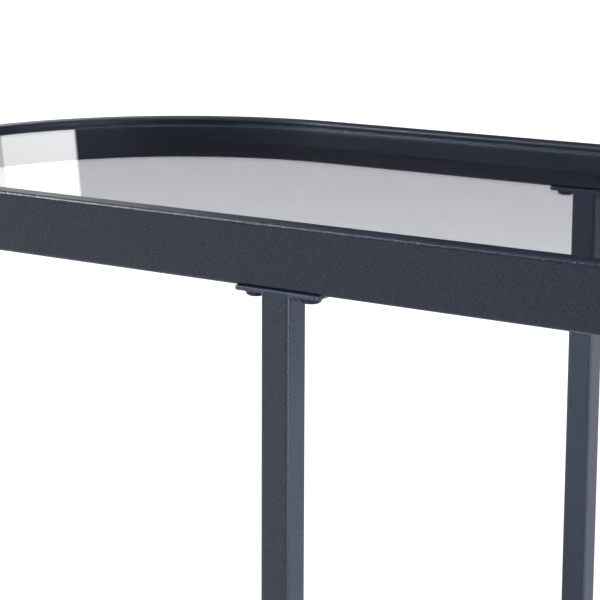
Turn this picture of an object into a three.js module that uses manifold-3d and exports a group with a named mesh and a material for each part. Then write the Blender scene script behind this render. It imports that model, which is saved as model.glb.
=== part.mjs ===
// Nest of two glass-topped tables with stadium-shaped (straight sides, half-round ends) steel frames.
// Units are millimetres, +Z up. X runs along the tables, Y across them, Z = 0 is the floor.
// The small table stands under the large one and is drawn partly out towards +X.
import * as THREE from 'three';
import { mergeVertices } from 'three/addons/utils/BufferGeometryUtils.js';
import Module from 'manifold-3d';

// ---------- driving dimensions ----------
const LARGE = {
  name: 'large',
  centreX: -61,       // centre of the large top
  length: 1100,       // overall length of the rim
  width: 330,         // overall width of the rim, so the half-round ends have a radius of 165
  height: 450,        // floor to the top of the rim
  legX: 204,          // leg axis to the centre of the top, along X (346 in from the end)
  pads: 6,
};
const SMALL = {
  name: 'small',
  centreX: 231,
  length: 760,
  width: 290,
  height: 390,
  legX: 140,
  pads: 4,
};
const RIM_W = 12;          // rim tube, across
const RIM_H = 30;          // rim tube, tall
const RIM_T = 1.5;         // rim tube wall
const RIM_CHAMFER = 1.2;   // the tube's outer corners
const LEDGE_GAP = 0.3;     // between the rim's inner wall and the ledge bar
const LEDGE_W = 6;         // glass ledge bar, across
const LEDGE_H = 10;        // glass ledge bar, tall
const GLASS_T = 5;         // pane
const GLASS_DROP = 3;      // top of the pane below the top of the rim
const GLASS_GAP = 2;       // pane edge to the rim's inner wall
const PAD_T = 1;           // clear pad under the pane
const PAD_R = 2.5;
const LEG = 15;            // square leg tube
const LEG_T = 1.2;
const LEG_R = 1.5;         // outer corner radius of the leg tube
const PLATE_L = 45;        // leg plate along X
const PLATE_W = 15;
const PLATE_T = 2;
const PLATE_R = 2;
const SCREW_OFFSET = 15;   // screw axis to leg axis
const HOLE_R = 3.3;        // clearance hole in the plate and thread-formed hole in the rim's lower wall
const SCREW_R = 3;         // M6
const SCREW_L = 11;        // under the head
const HEAD_R = 5;
const HEAD_H = 3;
const SOCKET_AF = 4;       // hexagon socket across flats
const SOCKET_D = 1.6;
const CAP_FLANGE = 4;      // foot cap below the tube
const CAP_STEM_H = 18;     // foot cap stem inside the tube
const CAP_GAP = 0.3;       // stem to the tube's inner wall
const ARC = 24;            // flats in each half-round end

// ---------- finishes ----------
const steel = new THREE.MeshStandardMaterial({ color: 0x3b4048, roughness: 0.55, metalness: 0.2 });
const glass = new THREE.MeshStandardMaterial({ color: 0xdfe6ea, roughness: 0.03, metalness: 0, transparent: true, opacity: 0.35 });
const screwSteel = new THREE.MeshStandardMaterial({ color: 0x24262b, roughness: 0.4, metalness: 0.7 });
const padMat = new THREE.MeshStandardMaterial({ color: 0xd6dadd, roughness: 0.3, metalness: 0, transparent: true, opacity: 0.6 });
const capMat = new THREE.MeshStandardMaterial({ color: 0x17181a, roughness: 0.7, metalness: 0 });

// ---------- solids ----------
const wasm = await Module();
wasm.setup();

function toSolid(geometry) {
  const g = geometry.clone();
  for (const key of Object.keys(g.attributes)) if (key !== 'position') g.deleteAttribute(key);
  const m = mergeVertices(g, 1e-4);
  return new wasm.Manifold(new wasm.Mesh({
    numProp: 3,
    vertProperties: new Float32Array(m.attributes.position.array),
    triVerts: new Uint32Array(m.index.array),
  }));
}

function toGeometry(solid) {
  const m = solid.getMesh();
  const g = new THREE.BufferGeometry();
  g.setAttribute('position', new THREE.BufferAttribute(new Float32Array(m.vertProperties), 3));
  g.setIndex(new THREE.BufferAttribute(new Uint32Array(m.triVerts), 1));
  g.computeVertexNormals();
  return g;
}

function closed(geometry) {
  const g = geometry.clone();
  for (const key of Object.keys(g.attributes)) if (key !== 'position') g.deleteAttribute(key);
  const m = mergeVertices(g, 1e-4);
  m.computeVertexNormals();
  return m;
}

// Outline of a stadium: straight sides of +-half along X, ends of the given radius, counter-clockwise.
function stadium(half, radius) {
  const pts = [];
  for (let i = 0; i <= ARC; i += 1) {
    const a = -Math.PI / 2 + (Math.PI * i) / ARC;
    pts.push(new THREE.Vector2(half + radius * Math.cos(a), radius * Math.sin(a)));
  }
  for (let i = 0; i <= ARC; i += 1) {
    const a = Math.PI / 2 + (Math.PI * i) / ARC;
    pts.push(new THREE.Vector2(-half + radius * Math.cos(a), radius * Math.sin(a)));
  }
  return pts;
}

function ringShape(half, outer, inner) {
  const s = new THREE.Shape(stadium(half, outer));
  s.holes.push(new THREE.Path(stadium(half, inner).reverse()));
  return s;
}

function roundedRect(lx, ly, r, n) {
  const pts = [];
  const corners = [[1, -1, -Math.PI / 2], [1, 1, 0], [-1, 1, Math.PI / 2], [-1, -1, Math.PI]];
  for (const [sx, sy, a0] of corners) {
    for (let i = 0; i <= n; i += 1) {
      const a = a0 + (Math.PI / 2) * (i / n);
      pts.push(new THREE.Vector2(sx * (lx / 2 - r) + r * Math.cos(a), sy * (ly / 2 - r) + r * Math.sin(a)));
    }
  }
  return pts;
}

function circle(cx, cy, r, n) {
  const pts = [];
  for (let i = 0; i < n; i += 1) {
    const a = (2 * Math.PI * i) / n;
    pts.push(new THREE.Vector2(cx + r * Math.cos(a), cy + r * Math.sin(a)));
  }
  return pts;
}

function extrude(shape, z0, z1, bevel = 0) {
  const g = bevel > 0
    ? new THREE.ExtrudeGeometry(shape, {
      depth: z1 - z0 - 2 * bevel, bevelEnabled: true, bevelThickness: bevel, bevelSize: bevel, bevelOffset: -bevel, bevelSegments: 1,
    })
    : new THREE.ExtrudeGeometry(shape, { depth: z1 - z0, bevelEnabled: false });
  g.translate(0, 0, z0 + bevel);
  return g;
}

// The rim: rectangular tube bent into a closed stadium, its lower wall pierced for the screws.
function rimGeometry(t) {
  const half = t.length / 2 - t.width / 2;
  const R = t.width / 2;
  const z1 = t.height;
  const z0 = z1 - RIM_H;
  let body = toSolid(extrude(ringShape(half, R, R - RIM_W), z0, z1, RIM_CHAMFER));
  body = body.subtract(toSolid(extrude(ringShape(half, R - RIM_T, R - RIM_W + RIM_T), z0 + RIM_T, z1 - RIM_T)));
  const y = R - RIM_W / 2;
  for (const sx of [-1, 1]) {
    for (const sy of [-1, 1]) {
      for (const side of [-1, 1]) {
        const hole = new THREE.Shape(circle(sx * t.legX + side * SCREW_OFFSET, sy * y, HOLE_R, 12));
        body = body.subtract(toSolid(extrude(hole, z0 - 1, z0 + RIM_T + 1)));
      }
    }
  }
  return toGeometry(body);
}

function ledgeGeometry(t) {
  const half = t.length / 2 - t.width / 2;
  const outer = t.width / 2 - RIM_W - LEDGE_GAP;
  const z1 = t.height - GLASS_DROP - GLASS_T - PAD_T;
  return closed(extrude(ringShape(half, outer, outer - LEDGE_W), z1 - LEDGE_H, z1));
}

function glassGeometry(t) {
  const half = t.length / 2 - t.width / 2;
  const z1 = t.height - GLASS_DROP;
  return closed(extrude(new THREE.Shape(stadium(half, t.width / 2 - RIM_W - GLASS_GAP)), z1 - GLASS_T, z1));
}

// A screw: button head below z = 0 with a hexagon socket in its underside, threaded shank above.
function screwGeometry() {
  const profile = [
    [0, -HEAD_H], [2.6, -HEAD_H], [3.9, -HEAD_H * 0.72], [4.7, -HEAD_H * 0.36], [HEAD_R, -0.4], [HEAD_R, 0],
    [SCREW_R, 0], [SCREW_R, SCREW_L - 0.8], [SCREW_R - 0.8, SCREW_L], [0, SCREW_L],
  ].map(([r, z]) => new THREE.Vector2(r, z));
  const lathe = new THREE.LatheGeometry(profile, 12);
  lathe.rotateX(Math.PI / 2);
  const body = toSolid(lathe);
  const hex = new THREE.Shape(circle(0, 0, SOCKET_AF / Math.sqrt(3), 6));
  return toGeometry(body.subtract(toSolid(extrude(hex, -HEAD_H - 1, -HEAD_H + SOCKET_D))));
}

function padGeometry() {
  const g = new THREE.CylinderGeometry(PAD_R, PAD_R, PAD_T, 10);
  g.rotateX(Math.PI / 2);
  g.translate(0, 0, PAD_T / 2);
  return closed(g);
}

function legGeometry(z0, z1) {
  const s = new THREE.Shape(roundedRect(LEG, LEG, LEG_R, 2));
  s.holes.push(new THREE.Path(roundedRect(LEG - 2 * LEG_T, LEG - 2 * LEG_T, 0.5, 1).reverse()));
  return closed(extrude(s, z0, z1));
}

function plateGeometry() {
  const s = new THREE.Shape(roundedRect(PLATE_L, PLATE_W, PLATE_R, 2));
  for (const side of [-1, 1]) s.holes.push(new THREE.Path(circle(side * SCREW_OFFSET, 0, HOLE_R, 12).reverse()));
  return closed(extrude(s, 0, PLATE_T));
}

function capGeometry() {
  const flange = toSolid(extrude(new THREE.Shape(roundedRect(LEG, LEG, LEG_R, 2)), 0, CAP_FLANGE, 0.6));
  const w = LEG - 2 * LEG_T - 2 * CAP_GAP;
  const stem = toSolid(extrude(new THREE.Shape(roundedRect(w, w, 0.9, 1)), CAP_FLANGE - 1, CAP_FLANGE + CAP_STEM_H));
  return toGeometry(flange.add(stem));
}

// ---------- assembly ----------
const nest = new THREE.Group();

function add(parent, name, geometry, material, x = 0, y = 0, z = 0) {
  const m = new THREE.Mesh(geometry, material);
  m.name = name;
  m.position.set(x, y, z);
  parent.add(m);
}

function buildTable(t) {
  const g = new THREE.Group();
  const n = t.name;
  const half = t.length / 2 - t.width / 2;
  const rimBottom = t.height - RIM_H;
  const y0 = t.width / 2 - RIM_W / 2;

  add(g, `${n}_rim_tube`, rimGeometry(t), steel);
  add(g, `${n}_glass_ledge`, ledgeGeometry(t), steel);
  add(g, `${n}_glass_top`, glassGeometry(t), glass);

  const padY = t.width / 2 - RIM_W - LEDGE_GAP - LEDGE_W / 2;
  const padZ = t.height - GLASS_DROP - GLASS_T - PAD_T;
  const spots = t.pads === 6 ? [-1, 0, 1] : [-1, 1];
  let k = 1;
  for (const sy of [-1, 1]) {
    for (const sx of spots) {
      add(g, `${n}_clear_pad_${k}`, padGeometry(), padMat, sx * (half - 20), sy * padY, padZ);
      k += 1;
    }
  }

  for (const [sy, yName] of [[-1, 'front'], [1, 'back']]) {
    for (const [sx, xName] of [[-1, 'left'], [1, 'right']]) {
      const where = `${yName}_${xName}`;
      const x = sx * t.legX;
      const y = sy * y0;
      add(g, `${n}_leg_${where}`, legGeometry(CAP_FLANGE, rimBottom - PLATE_T), steel, x, y, 0);
      add(g, `${n}_leg_plate_${where}`, plateGeometry(), steel, x, y, rimBottom - PLATE_T);
      add(g, `${n}_foot_cap_${where}`, capGeometry(), capMat, x, y, 0);
      add(g, `${n}_screw_${where}_1`, screwGeometry(), screwSteel, x - SCREW_OFFSET, y, rimBottom - PLATE_T);
      add(g, `${n}_screw_${where}_2`, screwGeometry(), screwSteel, x + SCREW_OFFSET, y, rimBottom - PLATE_T);
    }
  }
  g.position.x = t.centreX;
  nest.add(g);
}

buildTable(LARGE);
buildTable(SMALL);

export default nest;
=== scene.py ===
import math
import random

import bpy
from mathutils import Euler, Matrix, Vector


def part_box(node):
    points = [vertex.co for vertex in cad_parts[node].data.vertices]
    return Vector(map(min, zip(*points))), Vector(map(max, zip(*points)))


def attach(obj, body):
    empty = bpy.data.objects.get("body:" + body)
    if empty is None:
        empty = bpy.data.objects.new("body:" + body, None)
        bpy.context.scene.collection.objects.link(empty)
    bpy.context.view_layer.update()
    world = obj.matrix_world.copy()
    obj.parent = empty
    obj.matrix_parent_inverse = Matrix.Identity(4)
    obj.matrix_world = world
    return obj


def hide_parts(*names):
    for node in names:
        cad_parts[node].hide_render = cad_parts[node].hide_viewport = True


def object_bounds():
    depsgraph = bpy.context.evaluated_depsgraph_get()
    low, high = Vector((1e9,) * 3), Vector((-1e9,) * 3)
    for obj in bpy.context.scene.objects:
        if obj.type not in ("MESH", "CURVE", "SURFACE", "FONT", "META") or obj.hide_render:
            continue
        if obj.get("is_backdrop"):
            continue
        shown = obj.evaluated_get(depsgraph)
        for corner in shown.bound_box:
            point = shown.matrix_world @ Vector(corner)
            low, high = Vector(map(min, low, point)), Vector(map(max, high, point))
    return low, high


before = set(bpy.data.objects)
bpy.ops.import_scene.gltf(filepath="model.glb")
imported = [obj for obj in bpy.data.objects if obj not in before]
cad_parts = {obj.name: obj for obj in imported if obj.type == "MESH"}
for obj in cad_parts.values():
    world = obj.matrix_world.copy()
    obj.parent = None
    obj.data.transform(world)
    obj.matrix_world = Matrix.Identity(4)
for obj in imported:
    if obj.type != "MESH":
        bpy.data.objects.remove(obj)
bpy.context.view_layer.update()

MM = 0.001
TABLES = ("large", "small")
CORNERS = ("front_left", "front_right", "back_left", "back_right")


# ------------------------------------------------------------------ mesh helpers
def make_mesh(name, verts, faces, material, smooth=True):
    me = bpy.data.meshes.new(name)
    me.from_pydata([tuple(v) for v in verts], [], faces)
    me.validate()
    me.update()
    if smooth:
        me.polygons.foreach_set("use_smooth", [True] * len(me.polygons))
    ob = bpy.data.objects.new(name, me)
    bpy.context.scene.collection.objects.link(ob)
    me.materials.append(material)
    return ob


def rounded_section(w, h, r, seg, edge=0.35 * MM):
    """Closed outline of a rounded rectangle, x 0..w and z 0..h, with a support point beside each corner arc."""
    pts = []
    corners = ((w - r, r, -90), (w - r, h - r, 0), (r, h - r, 90), (r, r, 180))
    for cx, cz, a0 in corners:
        a = math.radians(a0)
        t0 = (math.cos(a), math.sin(a))
        t1 = (math.cos(a + math.pi / 2), math.sin(a + math.pi / 2))
        # the straight before the arc runs along t1, the one after it runs along -t0
        pts.append((cx + r * t0[0] - edge * t1[0], cz + r * t0[1] - edge * t1[1]))
        for i in range(seg + 1):
            b = a + math.pi / 2 * i / seg
            pts.append((cx + r * math.cos(b), cz + r * math.sin(b)))
        pts.append((cx + r * t1[0] - edge * t0[0], cz + r * t1[1] - edge * t0[1]))
    return pts


def stadium_path(half, arc, straight):
    """Closed list of (centre x, unit direction) round a stadium: a point at radius R is centre + R * direction."""
    path = []
    for i in range(arc + 1):
        a = -math.pi / 2 + math.pi * i / arc
        path.append((half, math.cos(a), math.sin(a)))
    for i in range(1, straight):
        path.append((half - 2 * half * i / straight, 0.0, 1.0))
    for i in range(arc + 1):
        a = math.pi / 2 + math.pi * i / arc
        path.append((-half, math.cos(a), math.sin(a)))
    for i in range(1, straight):
        path.append((-half + 2 * half * i / straight, 0.0, -1.0))
    return path


def sweep_ring(name, lo, hi, section, material, arc=72, straight=24):
    """A tube or bar bent into the stadium whose box is lo..hi. section: (inset from the outer face, height above lo.z)."""
    R = (hi.y - lo.y) / 2
    half = (hi.x - lo.x) / 2 - R
    cx, cy = (lo.x + hi.x) / 2, (lo.y + hi.y) / 2
    path = stadium_path(half, arc, straight)
    verts, faces = [], []
    n = len(section)
    for px, dx, dy in path:
        for d, z in section:
            verts.append((cx + px + (R - d) * dx, cy + (R - d) * dy, lo.z + z))
    m = len(path)
    for i in range(m):
        for j in range(n):
            a, b = i * n + j, i * n + (j + 1) % n
            c, d = ((i + 1) % m) * n + (j + 1) % n, ((i + 1) % m) * n + j
            faces.append((a, b, c, d))
    return fix_normals(make_mesh(name, verts, faces, material))


def fix_normals(ob):
    import bmesh
    bm = bmesh.new()
    bm.from_mesh(ob.data)
    bmesh.ops.recalc_face_normals(bm, faces=bm.faces)
    bm.to_mesh(ob.data)
    bm.free()
    ob.data.update()
    return ob


def pane(name, lo, hi, arris, material, edge_material, arc=96, straight=24):
    """A flat pane of stadium outline with ground, slightly rounded edges."""
    R = (hi.y - lo.y) / 2
    half = (hi.x - lo.x) / 2 - R
    cx, cy = (lo.x + hi.x) / 2, (lo.y + hi.y) / 2
    t = hi.z - lo.z
    path = stadium_path(half, arc, straight)
    prof = [(arris, 0.0), (arris * 0.3, arris * 0.3), (0.0, arris), (0.0, t - arris), (arris * 0.3, t - arris * 0.3), (arris, t)]
    verts, faces = [], []
    n, m = len(prof), len(path)
    for px, dx, dy in path:
        for d, z in prof:
            verts.append((cx + px + (R - d) * dx, cy + (R - d) * dy, lo.z + z))
    for i in range(m):
        k = (i + 1) % m
        for j in range(n - 1):
            faces.append((i * n + j, k * n + j, k * n + j + 1, i * n + j + 1))
    faces.append([i * n + n - 1 for i in range(m)])
    faces.append([i * n for i in range(m)][::-1])
    ob = fix_normals(make_mesh(name, verts, faces, material, smooth=False))
    ob.data.materials.append(edge_material)
    for p in ob.data.polygons:
        p.use_smooth = len(p.vertices) == 4 and abs(p.normal.z) < 0.3
        p.material_index = 1 if len(p.vertices) == 4 and abs(p.normal.z) < 0.3 else 0
    return ob


def rect_loop(lx, ly, r, seg, edge):
    """Closed outline of a rounded rectangle centred on the origin, in XY, counter-clockwise."""
    return [(x - lx / 2, y - ly / 2) for x, y in rounded_section(lx, ly, r, seg, edge)]


def stack(name, loops, material, cap=True, smooth_caps=False):
    """Joins closed loops of equal length, given as lists of 3-D points, into a skin, and caps both ends."""
    n = len(loops[0])
    verts = [p for loop in loops for p in loop]
    faces = []
    for i in range(len(loops) - 1):
        for j in range(n):
            k = (j + 1) % n
            faces.append((i * n + j, i * n + k, (i + 1) * n + k, (i + 1) * n + j))
    if cap:
        faces.append(list(range(n))[::-1])
        faces.append([(len(loops) - 1) * n + j for j in range(n)])
    ob = fix_normals(make_mesh(name, verts, faces, material))
    if cap and not smooth_caps:
        for p in ob.data.polygons:
            if len(p.vertices) > 4:
                p.use_smooth = False
    return ob


def post(name, lo, hi, r, material, rows=8, end=0.25 * MM, seg=6):
    """A square tube standing upright between lo and hi, with rounded long corners and slightly broken ends."""
    lx, ly = hi.x - lo.x, hi.y - lo.y
    cx, cy = (lo.x + hi.x) / 2, (lo.y + hi.y) / 2
    loops = []
    zs = [(lo.z, end), (lo.z + end, 0.0), (lo.z + 2 * end, 0.0)]
    zs += [(lo.z + (hi.z - lo.z) * i / rows, 0.0) for i in range(1, rows)]
    zs += [(hi.z - 2 * end, 0.0), (hi.z - end, 0.0), (hi.z, end)]
    for z, inset in zs:
        loops.append([(cx + x, cy + y, z) for x, y in rect_loop(lx - 2 * inset, ly - 2 * inset, r - inset * 0.5, seg, 0.35 * MM)])
    return stack(name, loops, material)


def slab(name, lo, hi, r, bevel, material, seg=8):
    """A flat plate lo..hi with rounded corners in plan and a small radius on its top and bottom edges."""
    lx, ly = hi.x - lo.x, hi.y - lo.y
    cx, cy = (lo.x + hi.x) / 2, (lo.y + hi.y) / 2
    prof = []
    for i in range(4):
        a = math.pi / 2 * i / 3
        prof.append((bevel * (1 - math.sin(a)), lo.z + bevel * (1 - math.cos(a))))
    for i in range(4):
        a = math.pi / 2 * i / 3
        prof.append((bevel * (1 - math.cos(a)), hi.z - bevel * (1 - math.sin(a))))
    loops = []
    for inset, z in prof:
        loops.append([(cx + x, cy + y, z) for x, y in rect_loop(lx - 2 * inset, ly - 2 * inset, r - inset * 0.5, seg, 0.2 * MM)])
    return stack(name, loops, material)


def screw(name, lo, hi, material, turns=48):
    """A button-head screw: domed head with a hexagon socket below, shank with rolled thread above. lo..hi is its box."""
    cx, cy = (lo.x + hi.x) / 2, (lo.y + hi.y) / 2
    head_r = (hi.x - lo.x) / 2
    seat = lo.z + 3.0 * MM
    af = 4.0 * MM
    angles = [2 * math.pi * i / turns for i in range(turns)]

    def circle(r, z):
        return [(cx + r * math.cos(a), cy + r * math.sin(a), z) for a in angles]

    def hexagon(z, k=1.0):
        out = []
        for a in angles:
            s = math.pi / 3
            b = (a % s) - s / 2
            r = k * af / 2 / math.cos(b)
            out.append((cx + r * math.cos(a), cy + r * math.sin(a), z))
        return out

    loops = [circle(0.25 * MM, lo.z + 1.95 * MM), hexagon(lo.z + 1.55 * MM, 0.96), hexagon(lo.z + 1.45 * MM), hexagon(lo.z + 0.22 * MM),
             hexagon(lo.z + 0.12 * MM, 1.03), hexagon(lo.z + 0.02 * MM, 1.12)]
    # the dome, from the flat round the socket out to the rim of the head
    flat_r = 2.75 * MM
    loops.append(circle(flat_r, lo.z))
    steps = 10
    for i in range(1, steps + 1):
        a = math.pi / 2 * i / steps
        loops.append(circle(flat_r + (head_r - flat_r) * math.sin(a), lo.z + (2.45 * MM) * (1 - math.cos(a))))
    loops.append(circle(head_r, seat - 0.25 * MM))
    loops.append(circle(head_r - 0.08 * MM, seat - 0.06 * MM))
    loops.append(circle(head_r - 0.25 * MM, seat))
    loops.append(circle(3.15 * MM, seat))
    z = seat + 0.3 * MM
    loops.append(circle(2.95 * MM, z))
    pitch = 1.0 * MM
    while z + pitch < hi.z - 0.6 * MM:
        loops.append(circle(2.52 * MM, z + pitch * 0.45))
        loops.append(circle(2.95 * MM, z + pitch * 0.9))
        loops.append(circle(2.95 * MM, z + pitch))
        z += pitch
    loops.append(circle(2.3 * MM, hi.z))
    ob = stack(name, loops, material)
    return ob


def foot_cap(name, lo, hi, material):
    """Moulded cap: square flange with a rounded sole and a gate dimple under it, ribbed stem inside the tube."""
    cx, cy = (lo.x + hi.x) / 2, (lo.y + hi.y) / 2
    s = hi.x - lo.x
    top = lo.z + 4.0 * MM
    loops = []

    def sq(size, z, r):
        return [(cx + x, cy + y, z) for x, y in rect_loop(size, size, r, 6, 0.12 * MM)]

    loops.append(sq(4.6 * MM, lo.z + 0.45 * MM, 1.9 * MM))
    loops.append(sq(5.4 * MM, lo.z + 0.45 * MM, 2.1 * MM))
    loops.append(sq(6.2 * MM, lo.z + 0.05 * MM, 2.3 * MM))
    loops.append(sq(6.8 * MM, lo.z, 2.4 * MM))
    R = 0.7 * MM
    for i in range(7):
        a = math.pi / 2 * i / 6
        loops.append(sq(s - 2 * R * (1 - math.sin(a)), lo.z + R * (1 - math.cos(a)), 1.6 * MM))
    loops.append(sq(s, top - 0.5 * MM, 1.6 * MM))
    loops.append(sq(s, top - 0.3 * MM, 1.6 * MM))
    loops.append(sq(s - 0.12 * MM, top - 0.1 * MM, 1.55 * MM))
    loops.append(sq(s - 0.5 * MM, top, 1.4 * MM))
    w = 11.6 * MM
    loops.append(sq(w + 0.1 * MM, top, 1.0 * MM))
    z = top + 1.5 * MM
    loops.append(sq(w, z, 1.0 * MM))
    while z + 4 * MM < hi.z - 1 * MM:
        for dz, dw in ((0.6, 0.35), (1.2, 0.35), (1.9, 0.0), (3.4, 0.0)):
            loops.append(sq(w + dw * MM, z + dz * MM, 1.0 * MM))
        z += 4 * MM
    loops.append(sq(w - 0.4 * MM, hi.z - 0.4 * MM, 1.0 * MM))
    loops.append(sq(w - 1.6 * MM, hi.z, 0.8 * MM))
    return stack(name, loops, material)


def pad(name, lo, hi, material, turns=40):
    cx, cy = (lo.x + hi.x) / 2, (lo.y + hi.y) / 2
    r, h = (hi.y - lo.y) / 2, hi.z - lo.z
    prof = [(0.0 + 0.02 * MM, lo.z)]
    for i in range(5):
        a = math.pi / 2 * i / 4
        prof.append((r - 0.2 * MM * (1 - math.sin(a)), lo.z + 0.2 * MM * (1 - math.cos(a))))
    for i in range(6):
        a = math.pi / 2 * i / 5
        prof.append((r - 0.7 * MM * (1 - math.cos(a)), hi.z - 0.6 * MM + 0.6 * MM * math.sin(a)))
    prof.append((0.02 * MM, hi.z))
    loops = [[(cx + q * math.cos(2 * math.pi * i / turns), cy + q * math.sin(2 * math.pi * i / turns), z) for i in range(turns)] for q, z in prof]
    return stack(name, loops, material)


def bead(p0, p1, side_a, side_b, r, seed, ripple=0.9 * MM):
    """Loops of a fillet weld from p0 to p1 in the corner between directions side_a and side_b, with its ripples."""
    rng = random.Random(seed)
    axis = p1 - p0
    length = axis.length
    axis.normalize()
    n = max(10, int(length / (ripple / 4)))
    loops = []
    for i in range(n + 1):
        t = i / n
        s = t * length
        end = min(s, length - s)
        k = math.sqrt(max(0.0, 1 - (1 - min(1.0, end / (1.2 * r))) ** 2))
        k = 0.12 + 0.88 * k
        wave = 1 + 0.10 * math.cos(2 * math.pi * s / ripple) + 0.03 * (rng.random() - 0.5)
        q = r * k * wave
        c = p0 + axis * s
        loop = [c - side_a * 0.12 * MM - side_b * 0.12 * MM]
        loop.append(c + side_a * q * 1.12 - side_b * 0.12 * MM)
        for j in range(7):
            a = math.pi / 2 * j / 6
            ca, sa = math.cos(a), math.sin(a)
            bulge = 0.80 + 0.04 * math.sin(2 * a)
            loop.append(c + side_a * q * (ca ** (1 / bulge)) + side_b * q * (sa ** (1 / bulge)))
        loop.append(c - side_a * 0.12 * MM + side_b * q * 1.12)
        loops.append([tuple(v) for v in loop])
    return loops


def join_stacks(name, many, material):
    verts, faces = [], []
    for loops in many:
        base = len(verts)
        n = len(loops[0])
        verts += [p for loop in loops for p in loop]
        for i in range(len(loops) - 1):
            for j in range(n):
                k = (j + 1) % n
                faces.append((base + i * n + j, base + i * n + k, base + (i + 1) * n + k, base + (i + 1) * n + j))
        faces.append([base + j for j in range(n)][::-1])
        faces.append([base + (len(loops) - 1) * n + j for j in range(n)])
    return fix_normals(make_mesh(name, verts, faces, material))


# ------------------------------------------------------------------ materials
class Nodes:
    def __init__(self, name):
        self.mat = bpy.data.materials.new(name)
        self.mat.use_nodes = True
        self.nt = self.mat.node_tree
        self.nt.nodes.clear()
        self.out = self.nt.nodes.new("ShaderNodeOutputMaterial")

    def new(self, kind, **props):
        n = self.nt.nodes.new(kind)
        for k, v in props.items():
            setattr(n, k, v)
        return n

    def link(self, a, b):
        self.nt.links.new(a, b)

    def coords(self):
        if not hasattr(self, "_c"):
            self._c = self.new("ShaderNodeTexCoord")
        return self._c.outputs["Object"]

    def noise(self, scale, detail=2.0, rough=0.5, distortion=0.0):
        n = self.new("ShaderNodeTexNoise")
        n.inputs["Scale"].default_value = scale
        n.inputs["Detail"].default_value = detail
        n.inputs["Roughness"].default_value = rough
        n.inputs["Distortion"].default_value = distortion
        self.link(self.coords(), n.inputs["Vector"])
        return n.outputs["Fac"]

    def ramp(self, fac, lo, hi, a=0.0, b=1.0):
        n = self.new("ShaderNodeMapRange")
        n.inputs["From Min"].default_value = lo
        n.inputs["From Max"].default_value = hi
        n.inputs["To Min"].default_value = a
        n.inputs["To Max"].default_value = b
        self.link(fac, n.inputs["Value"])
        return n.outputs["Result"]

    def math(self, op, a, b):
        n = self.new("ShaderNodeMath", operation=op)
        for i, v in enumerate((a, b)):
            if isinstance(v, (int, float)):
                n.inputs[i].default_value = v
            else:
                self.link(v, n.inputs[i])
        return n.outputs[0]

    def mix(self, fac, a, b, mode="MIX"):
        n = self.new("ShaderNodeMix", data_type="RGBA", blend_type=mode)
        if isinstance(fac, (int, float)):
            n.inputs["Factor"].default_value = fac
        else:
            self.link(fac, n.inputs["Factor"])
        for key, v in (("A", a), ("B", b)):
            socket = [s for s in n.inputs if s.name == key and s.type == "RGBA"][0]
            if isinstance(v, tuple):
                socket.default_value = (*v, 1.0)
            else:
                self.link(v, socket)
        return [s for s in n.outputs if s.type == "RGBA"][0]

    def bump(self, height, strength, distance, normal=None):
        n = self.new("ShaderNodeBump")
        n.inputs["Strength"].default_value = strength
        n.inputs["Distance"].default_value = distance
        self.link(height, n.inputs["Height"])
        if normal is not None:
            self.link(normal, n.inputs["Normal"])
        return n.outputs["Normal"]


def powder_coat(name, dark, light, grainy, flake, spark, texture=1.0):
    """Fine-textured anthracite-blue powder coat on steel: sand-like micro grain, dense faint flecks, satin gloss that varies."""
    m = Nodes(name)
    p = m.new("ShaderNodeBsdfPrincipled")
    grain = m.noise(1150.0, 3.0, 0.65)
    peel = m.noise(300.0, 2.0, 0.5)
    cloud = m.noise(7.0, 3.0, 0.6)
    vor = m.new("ShaderNodeTexVoronoi", feature="F1")
    vor.inputs["Scale"].default_value = 700.0
    m.link(m.coords(), vor.inputs["Vector"])
    fleck = m.ramp(vor.outputs["Distance"], 0.34, 0.12)
    pick = m.new("ShaderNodeSeparateColor")
    m.link(vor.outputs["Color"], pick.inputs["Color"])
    dense = m.math("MULTIPLY", fleck, m.ramp(pick.outputs["Red"], 0.55, 1.0))
    rare = m.math("MULTIPLY", fleck, m.ramp(pick.outputs["Green"], 0.975, 0.995))
    tone = m.mix(m.ramp(cloud, 0.35, 0.65), dark, light)
    tone = m.mix(m.ramp(grain, 0.30, 0.75), tone, grainy)
    tone = m.mix(m.math("MULTIPLY", dense, 0.55 * texture), tone, flake)
    tone = m.mix(m.math("MULTIPLY", rare, 0.35 * texture), tone, spark)
    m.link(tone, p.inputs["Base Color"])
    rough = m.ramp(cloud, 0.3, 0.7, 0.30, 0.37)
    rough = m.math("ADD", rough, m.ramp(grain, 0.3, 0.7, -0.04, 0.05))
    m.link(rough, p.inputs["Roughness"])
    p.inputs["Specular IOR Level"].default_value = 0.32
    n = m.bump(peel, 0.40 * texture, 0.00012)
    n = m.bump(grain, texture, 0.00022, n)
    m.link(n, p.inputs["Normal"])
    m.link(p.outputs[0], m.out.inputs["Surface"])
    return m.mat


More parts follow.
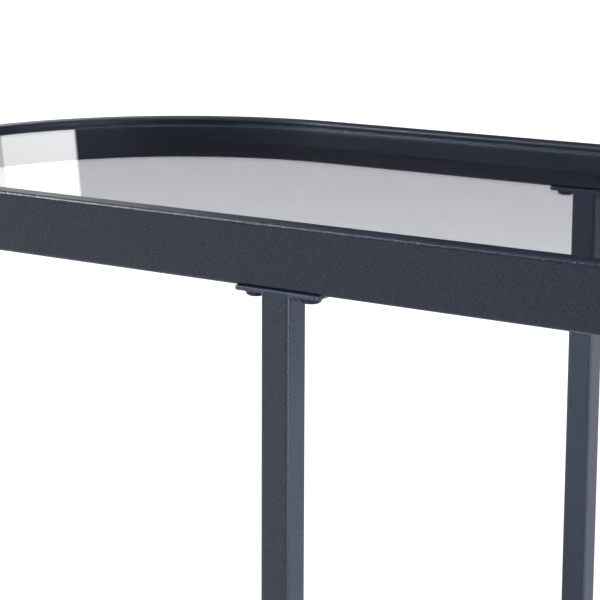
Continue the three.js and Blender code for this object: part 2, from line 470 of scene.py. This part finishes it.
def clear_glass():
    m = Nodes("clear_float_glass")
    p = m.new("ShaderNodeBsdfPrincipled")
    p.inputs["Transmission Weight"].default_value = 1.0
    p.inputs["IOR"].default_value = 1.5
    p.inputs["Roughness"].default_value = 0.0
    smear = m.noise(14.0, 4.0, 0.6, 0.4)
    tone = m.mix(m.ramp(smear, 0.3, 0.7), (0.950, 0.970, 1.0), (0.957, 0.975, 1.0))
    m.link(tone, p.inputs["Base Color"])
    # lamp rays pass straight through, less of them the flatter they come in
    clear = m.new("ShaderNodeBsdfTransparent")
    flat = m.new("ShaderNodeLayerWeight")
    flat.inputs["Blend"].default_value = 0.5
    loss = m.new("ShaderNodeValToRGB")
    el = loss.color_ramp.elements
    el[0].position, el[0].color = 0.0, (0.95, 0.965, 0.960, 1)
    el[1].position, el[1].color = 1.0, (0.05, 0.05, 0.05, 1)
    for pos, v in ((0.50, 0.93), (0.75, 0.78), (0.85, 0.60), (0.93, 0.34)):
        el.new(pos).color = (v * 0.99, v, v * 0.995, 1)
    m.link(flat.outputs["Facing"], loss.inputs["Fac"])
    m.link(loss.outputs["Color"], clear.inputs["Color"])
    path = m.new("ShaderNodeLightPath")
    mix = m.new("ShaderNodeMixShader")
    m.link(path.outputs["Is Shadow Ray"], mix.inputs["Fac"])
    m.link(p.outputs[0], mix.inputs[1])
    m.link(clear.outputs[0], mix.inputs[2])
    m.link(mix.outputs[0], m.out.inputs["Surface"])
    return m.mat


def glass_edge():
    """The ground edge of the pane: matt and dark green, because light that gets there has crossed much glass."""
    m = Nodes("ground_glass_edge")
    p = m.new("ShaderNodeBsdfPrincipled")
    grind = m.noise(1800.0, 3.0, 0.6)
    wave = m.noise(60.0, 2.0, 0.5)
    tone = m.mix(m.ramp(wave, 0.3, 0.7), (0.020, 0.030, 0.030), (0.028, 0.042, 0.041))
    m.link(tone, p.inputs["Base Color"])
    m.link(m.ramp(grind, 0.3, 0.7, 0.42, 0.58), p.inputs["Roughness"])
    p.inputs["Specular IOR Level"].default_value = 0.35
    m.link(m.bump(grind, 0.3, 0.00003), p.inputs["Normal"])
    m.link(p.outputs[0], m.out.inputs["Surface"])
    return m.mat


def screw_steel():
    m = Nodes("black_zinc_screw")
    p = m.new("ShaderNodeBsdfPrincipled")
    fine = m.noise(2600.0, 2.0, 0.6)
    cloud = m.noise(420.0, 3.0, 0.6)
    geo = m.new("ShaderNodeNewGeometry")
    worn = m.ramp(geo.outputs["Pointiness"], 0.52, 0.60)
    worn = m.math("MULTIPLY", worn, m.ramp(cloud, 0.35, 0.65))
    tone = m.mix(m.ramp(cloud, 0.3, 0.7), (0.006, 0.010, 0.020), (0.011, 0.016, 0.030))
    tone = m.mix(m.math("MULTIPLY", worn, 0.6), tone, (0.16, 0.16, 0.17))
    m.link(tone, p.inputs["Base Color"])
    p.inputs["Specular IOR Level"].default_value = 0.24
    m.link(m.ramp(fine, 0.3, 0.7, 0.16, 0.26), p.inputs["Roughness"])
    m.link(m.bump(fine, 0.25, 0.00003), p.inputs["Normal"])
    m.link(p.outputs[0], m.out.inputs["Surface"])
    return m.mat


def clear_pad():
    m = Nodes("clear_pad")
    p = m.new("ShaderNodeBsdfPrincipled")
    fine = m.noise(900.0, 2.0, 0.5)
    m.link(m.mix(m.ramp(fine, 0.3, 0.7), (0.20, 0.21, 0.22), (0.26, 0.27, 0.28)), p.inputs["Base Color"])
    p.inputs["Transmission Weight"].default_value = 0.95
    p.inputs["IOR"].default_value = 1.49
    m.link(m.ramp(fine, 0.3, 0.7, 0.22, 0.32), p.inputs["Roughness"])
    m.link(p.outputs[0], m.out.inputs["Surface"])
    return m.mat


def cap_plastic():
    m = Nodes("moulded_foot_cap")
    p = m.new("ShaderNodeBsdfPrincipled")
    grain = m.noise(2200.0, 2.0, 0.6)
    scuff = m.noise(300.0, 4.0, 0.7, 0.6)
    geo = m.new("ShaderNodeNewGeometry")
    edge = m.math("MULTIPLY", m.ramp(geo.outputs["Pointiness"], 0.51, 0.58), m.ramp(scuff, 0.45, 0.62))
    tone = m.mix(m.ramp(scuff, 0.3, 0.7), (0.011, 0.011, 0.012), (0.018, 0.018, 0.020))
    tone = m.mix(m.math("MULTIPLY", edge, 0.5), tone, (0.07, 0.07, 0.075))
    m.link(tone, p.inputs["Base Color"])
    m.link(m.ramp(scuff, 0.3, 0.7, 0.50, 0.68), p.inputs["Roughness"])
    m.link(m.bump(grain, 0.35, 0.00004), p.inputs["Normal"])
    m.link(p.outputs[0], m.out.inputs["Surface"])
    return m.mat


RIM_COAT = powder_coat("powder_coat_rim", (0.0036, 0.0074, 0.0180), (0.0052, 0.0094, 0.0220), (0.0175, 0.0265, 0.0460), (0.048, 0.063, 0.098), (0.11, 0.12, 0.15))
LEG_COAT = powder_coat("powder_coat_leg", (0.0080, 0.0135, 0.0270), (0.0102, 0.0163, 0.0315), (0.0300, 0.0410, 0.0660), (0.076, 0.095, 0.140), (0.13, 0.14, 0.18), 0.6)
GLASS, EDGE, SCREW, PAD, CAP = clear_glass(), glass_edge(), screw_steel(), clear_pad(), cap_plastic()


# ------------------------------------------------------------------ the tables
COATED, FITTINGS = [], []


def place(ob, body, slot, *nodes):
    if nodes:
        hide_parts(*nodes)
    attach(ob, body)
    if slot == "powder_coated_steel":
        COATED.append(ob)
    if slot == "black_screw" or "_plate_" in ob.name:
        FITTINGS.append(ob)
    return ob


for t in TABLES:
    body, top_body = f"{t}_table", f"{t}_glass"

    lo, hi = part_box(f"{t}_rim_tube")
    place(sweep_ring(f"{t}_rim", lo, hi, rounded_section(12 * MM, 30 * MM, 2.0 * MM, 7), RIM_COAT), body, "powder_coated_steel", f"{t}_rim_tube")
    rim_lo, rim_hi = lo, hi

    lo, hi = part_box(f"{t}_glass_ledge")
    ledge_w = 6 * MM
    place(sweep_ring(f"{t}_ledge", lo, hi, rounded_section(ledge_w, hi.z - lo.z, 0.3 * MM, 4, 0.1 * MM), RIM_COAT), body, "powder_coated_steel", f"{t}_glass_ledge")
    ledge_lo, ledge_hi = lo, hi

    lo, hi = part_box(f"{t}_glass_top")
    place(pane(f"{t}_pane", lo, hi, 0.6 * MM, GLASS, EDGE), top_body, "clear_glass", f"{t}_glass_top")

    i = 1
    while f"{t}_clear_pad_{i}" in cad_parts:
        lo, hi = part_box(f"{t}_clear_pad_{i}")
        place(pad(f"{t}_pad_{i}", lo, hi, PAD), body, "clear_pad", f"{t}_clear_pad_{i}")
        i += 1

    for c in CORNERS:
        lo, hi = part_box(f"{t}_leg_{c}")
        up_lo, up_hi = Vector(lo), Vector(hi)
        up_lo.x, up_lo.y, up_hi.x, up_hi.y, up_hi.z = lo.x - 0.03 * MM, lo.y - 0.03 * MM, hi.x + 0.03 * MM, hi.y + 0.03 * MM, hi.z + 1.5 * MM
        place(post(f"{t}_tube_leg_{c}", up_lo, up_hi, 1.7 * MM, LEG_COAT), body, "powder_coated_steel", f"{t}_leg_{c}")
        leg_lo, leg_hi = lo, hi
        lo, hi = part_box(f"{t}_leg_plate_{c}")
        place(slab(f"{t}_plate_{c}", lo, hi, 2.4 * MM, 0.45 * MM, LEG_COAT), body, "powder_coated_steel", f"{t}_leg_plate_{c}")
        beads = []
        for s in (-1, 1):
            x = leg_hi.x if s > 0 else leg_lo.x
            p0 = Vector((x, leg_lo.y + 1.2 * MM, lo.z))
            p1 = Vector((x, leg_hi.y - 1.2 * MM, lo.z))
            beads.append(bead(p0, p1, Vector((s, 0, 0)), Vector((0, 0, -1)), 1.5 * MM, f"{t}{c}{s}"))
        place(join_stacks(f"{t}_leg_weld_{c}", beads, LEG_COAT), body, "powder_coated_steel")
        lo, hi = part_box(f"{t}_foot_cap_{c}")
        place(foot_cap(f"{t}_cap_{c}", lo, hi, CAP), body, "black_plastic", f"{t}_foot_cap_{c}")
        for k in (1, 2):
            lo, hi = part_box(f"{t}_screw_{c}_{k}")
            place(screw(f"{t}_bolt_{c}_{k}", lo, hi, SCREW), body, "black_screw", f"{t}_screw_{c}_{k}")

    # tack welds under the ledge bar, where it meets the rim's inner wall
    R = (rim_hi.y - rim_lo.y) / 2 - 12 * MM
    half = (rim_hi.x - rim_lo.x) / 2 - (rim_hi.y - rim_lo.y) / 2
    cx = (rim_lo.x + rim_hi.x) / 2
    tacks = []
    count = 5 if t == "large" else 4
    for s in (-1, 1):
        for j in range(count):
            x = cx - half + 2 * half * (j + 0.5) / count
            p0, p1 = Vector((x - 9 * MM, s * R, ledge_lo.z)), Vector((x + 9 * MM, s * R, ledge_lo.z))
            tacks.append(bead(p0, p1, Vector((0, -s, 0)), Vector((0, 0, -1)), 1.8 * MM, f"{t}tack{s}{j}", 1.1 * MM))
    place(join_stacks(f"{t}_ledge_tacks", tacks, RIM_COAT), body, "powder_coated_steel")


# ------------------------------------------------------------------ floor, lights, camera
def floor_material():
    """White floor: lit from within so that it stays white far off, and only partly by the lamps, so that shadows stay soft and pale."""
    m = Nodes("white_floor")
    p = m.new("ShaderNodeBsdfPrincipled")
    p.inputs["Base Color"].default_value = (0.22, 0.22, 0.22, 1)
    p.inputs["Roughness"].default_value = 0.9
    p.inputs["Specular IOR Level"].default_value = 0.0
    far = m.new("ShaderNodeVectorMath", operation="LENGTH")
    m.link(m.coords(), far.inputs[0])
    # painted light: the floor's glow is neutral near the tables, a little cooler far off, a little warmer to the front
    # and left
    fore = m.new("ShaderNodeVectorMath", operation="DOT_PRODUCT")
    m.link(m.coords(), fore.inputs[0])
    fore.inputs[1].default_value = (-0.75, -0.66, 0.0)
    glow_colour = m.mix(m.ramp(far.outputs["Value"], 1.2, 2.4), (1.0, 1.0, 1.0), (0.970, 0.978, 1.0))
    glow_colour = m.mix(m.ramp(fore.outputs["Value"], 0.5, 1.3), glow_colour, (1.0, 0.945, 0.885))
    m.link(glow_colour, p.inputs["Emission Color"])
    # painted light: the floor glows less near the tables and more far off, and a little more again beyond 2.4 m
    glow = m.ramp(far.outputs["Value"], 0.5, 1.5, 0.72, 1.11)
    m.link(m.math("ADD", glow, m.ramp(far.outputs["Value"], 2.4, 3.3, 0.0, 0.07)), p.inputs["Emission Strength"])
    m.link(p.outputs[0], m.out.inputs["Surface"])
    m.mat.cycles.emission_sampling = "NONE"
    return m.mat


me = bpy.data.meshes.new("floor")
S = 60.0
me.from_pydata([(-S, -S, 0), (S, -S, 0), (S, S, 0), (-S, S, 0)], [], [(0, 1, 2, 3)])
floor = bpy.data.objects.new("floor", me)
bpy.context.scene.collection.objects.link(floor)
me.materials.append(floor_material())
floor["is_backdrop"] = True


def area(name, loc, target, sx, sy, power, colour=(1, 1, 1), glossy=True):
    d = bpy.data.lights.new(name, "AREA")
    d.shape = "RECTANGLE"
    d.size, d.size_y = sx, sy
    d.energy = power
    d.color = colour
    ob = bpy.data.objects.new(name, d)
    ob.location = loc
    ob.rotation_euler = (Vector(target) - Vector(loc)).to_track_quat("-Z", "Y").to_euler()
    ob.visible_camera = False
    ob.visible_glossy = glossy
    ob.visible_transmission = False
    bpy.context.scene.collection.objects.link(ob)
    return ob


area("top_soft", (0.15, 0.1, 2.6), (0.15, 0.1, 0.4), 1.4, 1.8, 26)
area("right_soft", (2.2, -0.25, 0.30), (0, 0, 0.25), 1.6, 0.56, 83, (0.95, 1.0, 1.12))
area("left_edge", (-2.9, -0.90, 2.1), (-0.3, -0.15, 0.45), 0.40, 0.40, 168, (0.98, 0.985, 1.0))


def only(lamp, name, things):
    """Keeps a lamp to the things named, so that the panes and the floor don't show it."""
    group = bpy.data.collections.new(name)
    for ob in things:
        group.objects.link(ob)
    lamp.light_linking.receiver_collection = group


only(area("back_left", (-3.2, 2.5, 1.85), (-0.3, 0.0, 0.45), 1.2, 0.8, 8), "coated", COATED)
only(area("fittings_glint", (-1.1, -2.9, 1.9), (-0.26, -0.16, 0.42), 0.35, 0.35, 110), "fittings", FITTINGS)

# round about: white to the eye; for light and reflections, white below the horizon, dark just above it, softly bright higher up
world = bpy.data.worlds.new("studio")
bpy.context.scene.world = world
world.use_nodes = True
world.cycles.sampling_method = "NONE"
wn = world.node_tree
wn.nodes.clear()
wo = wn.nodes.new("ShaderNodeOutputWorld")
room = wn.nodes.new("ShaderNodeBackground")
pale = wn.nodes.new("ShaderNodeBackground")
pale.inputs["Color"].default_value = (1, 1, 1, 1)
where = wn.nodes.new("ShaderNodeTexCoord")
axes = wn.nodes.new("ShaderNodeSeparateXYZ")
wn.links.new(where.outputs["Generated"], axes.inputs[0])
steps = wn.nodes.new("ShaderNodeValToRGB")
steps.color_ramp.interpolation = "LINEAR"
el = steps.color_ramp.elements
el[0].position, el[0].color = 0.0, (1, 1, 1, 1)
el[1].position, el[1].color = 1.0, (0.16, 0.165, 0.175, 1)
for pos, c in ((0.498, (1, 1, 1)), (0.502, (0.004, 0.004, 0.005)), (0.64, (0.004, 0.004, 0.005)), (0.78, (0.16, 0.165, 0.175))):
    e = el.new(pos)
    e.color = (*c, 1)
half = wn.nodes.new("ShaderNodeMapRange")
half.inputs["From Min"].default_value = -1
half.inputs["From Max"].default_value = 1
wn.links.new(axes.outputs["Z"], half.inputs["Value"])
wn.links.new(half.outputs["Result"], steps.inputs["Fac"])
wn.links.new(steps.outputs["Color"], room.inputs["Color"])
lp = wn.nodes.new("ShaderNodeLightPath")
mixw = wn.nodes.new("ShaderNodeMixShader")
wn.links.new(lp.outputs["Is Camera Ray"], mixw.inputs["Fac"])
wn.links.new(room.outputs[0], mixw.inputs[1])
wn.links.new(pale.outputs[0], mixw.inputs[2])
wn.links.new(mixw.outputs[0], wo.inputs["Surface"])

# camera: just above the tall table's left half, to the right and in front, looking back and left
AZ, PITCH, ROLL = math.radians(33.50), math.radians(9.62), math.radians(0.26)
FOCAL_PX = 1957.74
leg_lo, leg_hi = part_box("large_leg_front_left")
rim_lo, rim_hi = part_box("large_rim_tube")
leg_x = (leg_lo.x + leg_hi.x) / 2
cam_loc = Vector((leg_x + 0.48069, -0.87214, rim_hi.z + 0.15137))
F = Vector((-math.sin(AZ) * math.cos(PITCH), math.cos(AZ) * math.cos(PITCH), -math.sin(PITCH)))
Rv = Vector((math.cos(AZ), math.sin(AZ), 0.0))
U = Rv.cross(F)
R2 = Rv * math.cos(ROLL) + U * math.sin(ROLL)
U2 = -Rv * math.sin(ROLL) + U * math.cos(ROLL)
cd = bpy.data.cameras.new("camera")
cam = bpy.data.objects.new("camera", cd)
bpy.context.scene.collection.objects.link(cam)
cd.sensor_width = 36.0
cd.sensor_fit = "HORIZONTAL"
cd.lens = FOCAL_PX / 600 * 36
cd.shift_y = -0.15
cd.clip_start, cd.clip_end = 0.02, 200
cam.matrix_world = Matrix.Translation(cam_loc) @ Matrix((R2, U2, -F)).transposed().to_4x4()
bpy.context.scene.camera = cam

# the tall leaning white cards mirrored in the pane near its left end, placed from where their edges show in it
PANE_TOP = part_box("large_glass_top")[1].z


def mirrored(u, v, dist):
    """The point at horizontal distance dist that the pane shows at (u, v) in a 600 x 600 frame."""
    d = F + R2 * ((u - 300) / FOCAL_PX) + U2 * ((300 + 600 * cd.shift_y - v) / FOCAL_PX)
    start = Vector((cam_loc.x, cam_loc.y, 2 * PANE_TOP - cam_loc.z))
    d = Vector((d.x, d.y, -d.z))
    flat = Vector((d.x, d.y, 0)).length
    return start + d * (dist / flat)


def card(name, top, bottom, dist, radiance, grow=0.0, stretch=7.0):
    """A flat lamp whose left and right edges are mirrored at top = (left, right, v) and bottom = (left, right, v)."""
    p = [mirrored(u, v, dist) for u, v in ((top[0], top[2]), (top[1], top[2]), (bottom[0], bottom[2]), (bottom[1], bottom[2]))]
    low, high = (p[0] + p[1]) / 2, (p[2] + p[3]) / 2
    up = high - low
    wide = ((p[1] - p[0]).length + (p[3] - p[2]).length) / 2 + grow
    tall = up.length * stretch
    up.normalize()
    middle = low - up * 0.04 + up * (tall / 2)
    across = (p[1] - p[0]).normalized()
    across = (across - up * across.dot(up)).normalized()
    face = across.cross(up)
    if face.dot(cam_loc - low) < 0:
        across = -across
        face = -face
    d = bpy.data.lights.new(name, "AREA")
    d.shape = "RECTANGLE"
    d.size, d.size_y = wide, tall
    d.energy = radiance * math.pi * wide * tall
    ob = bpy.data.objects.new(name, d)
    # a lamp shines along its own -Z
    ob.matrix_world = Matrix.Translation(middle) @ Matrix((-across, up, -face)).transposed().to_4x4()
    ob.visible_camera = False
    bpy.context.scene.collection.objects.link(ob)
    return ob


for i, grow in enumerate((-0.008, 0.0, 0.008)):
    card(f"card_{i}", (3.4, 73.2, 133), (9.0, 79.0, 191), 3.6, 0.50, grow)
card("card_beside", (-190, 79.0 - 5.8, 133), (-184, 79.0, 191), 3.65, 0.72)

vs = bpy.context.scene.view_settings
vs.view_transform = "Standard"
vs.look = "None"
vs.exposure = 0.0
vs.gamma = 1.0

lo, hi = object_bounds()
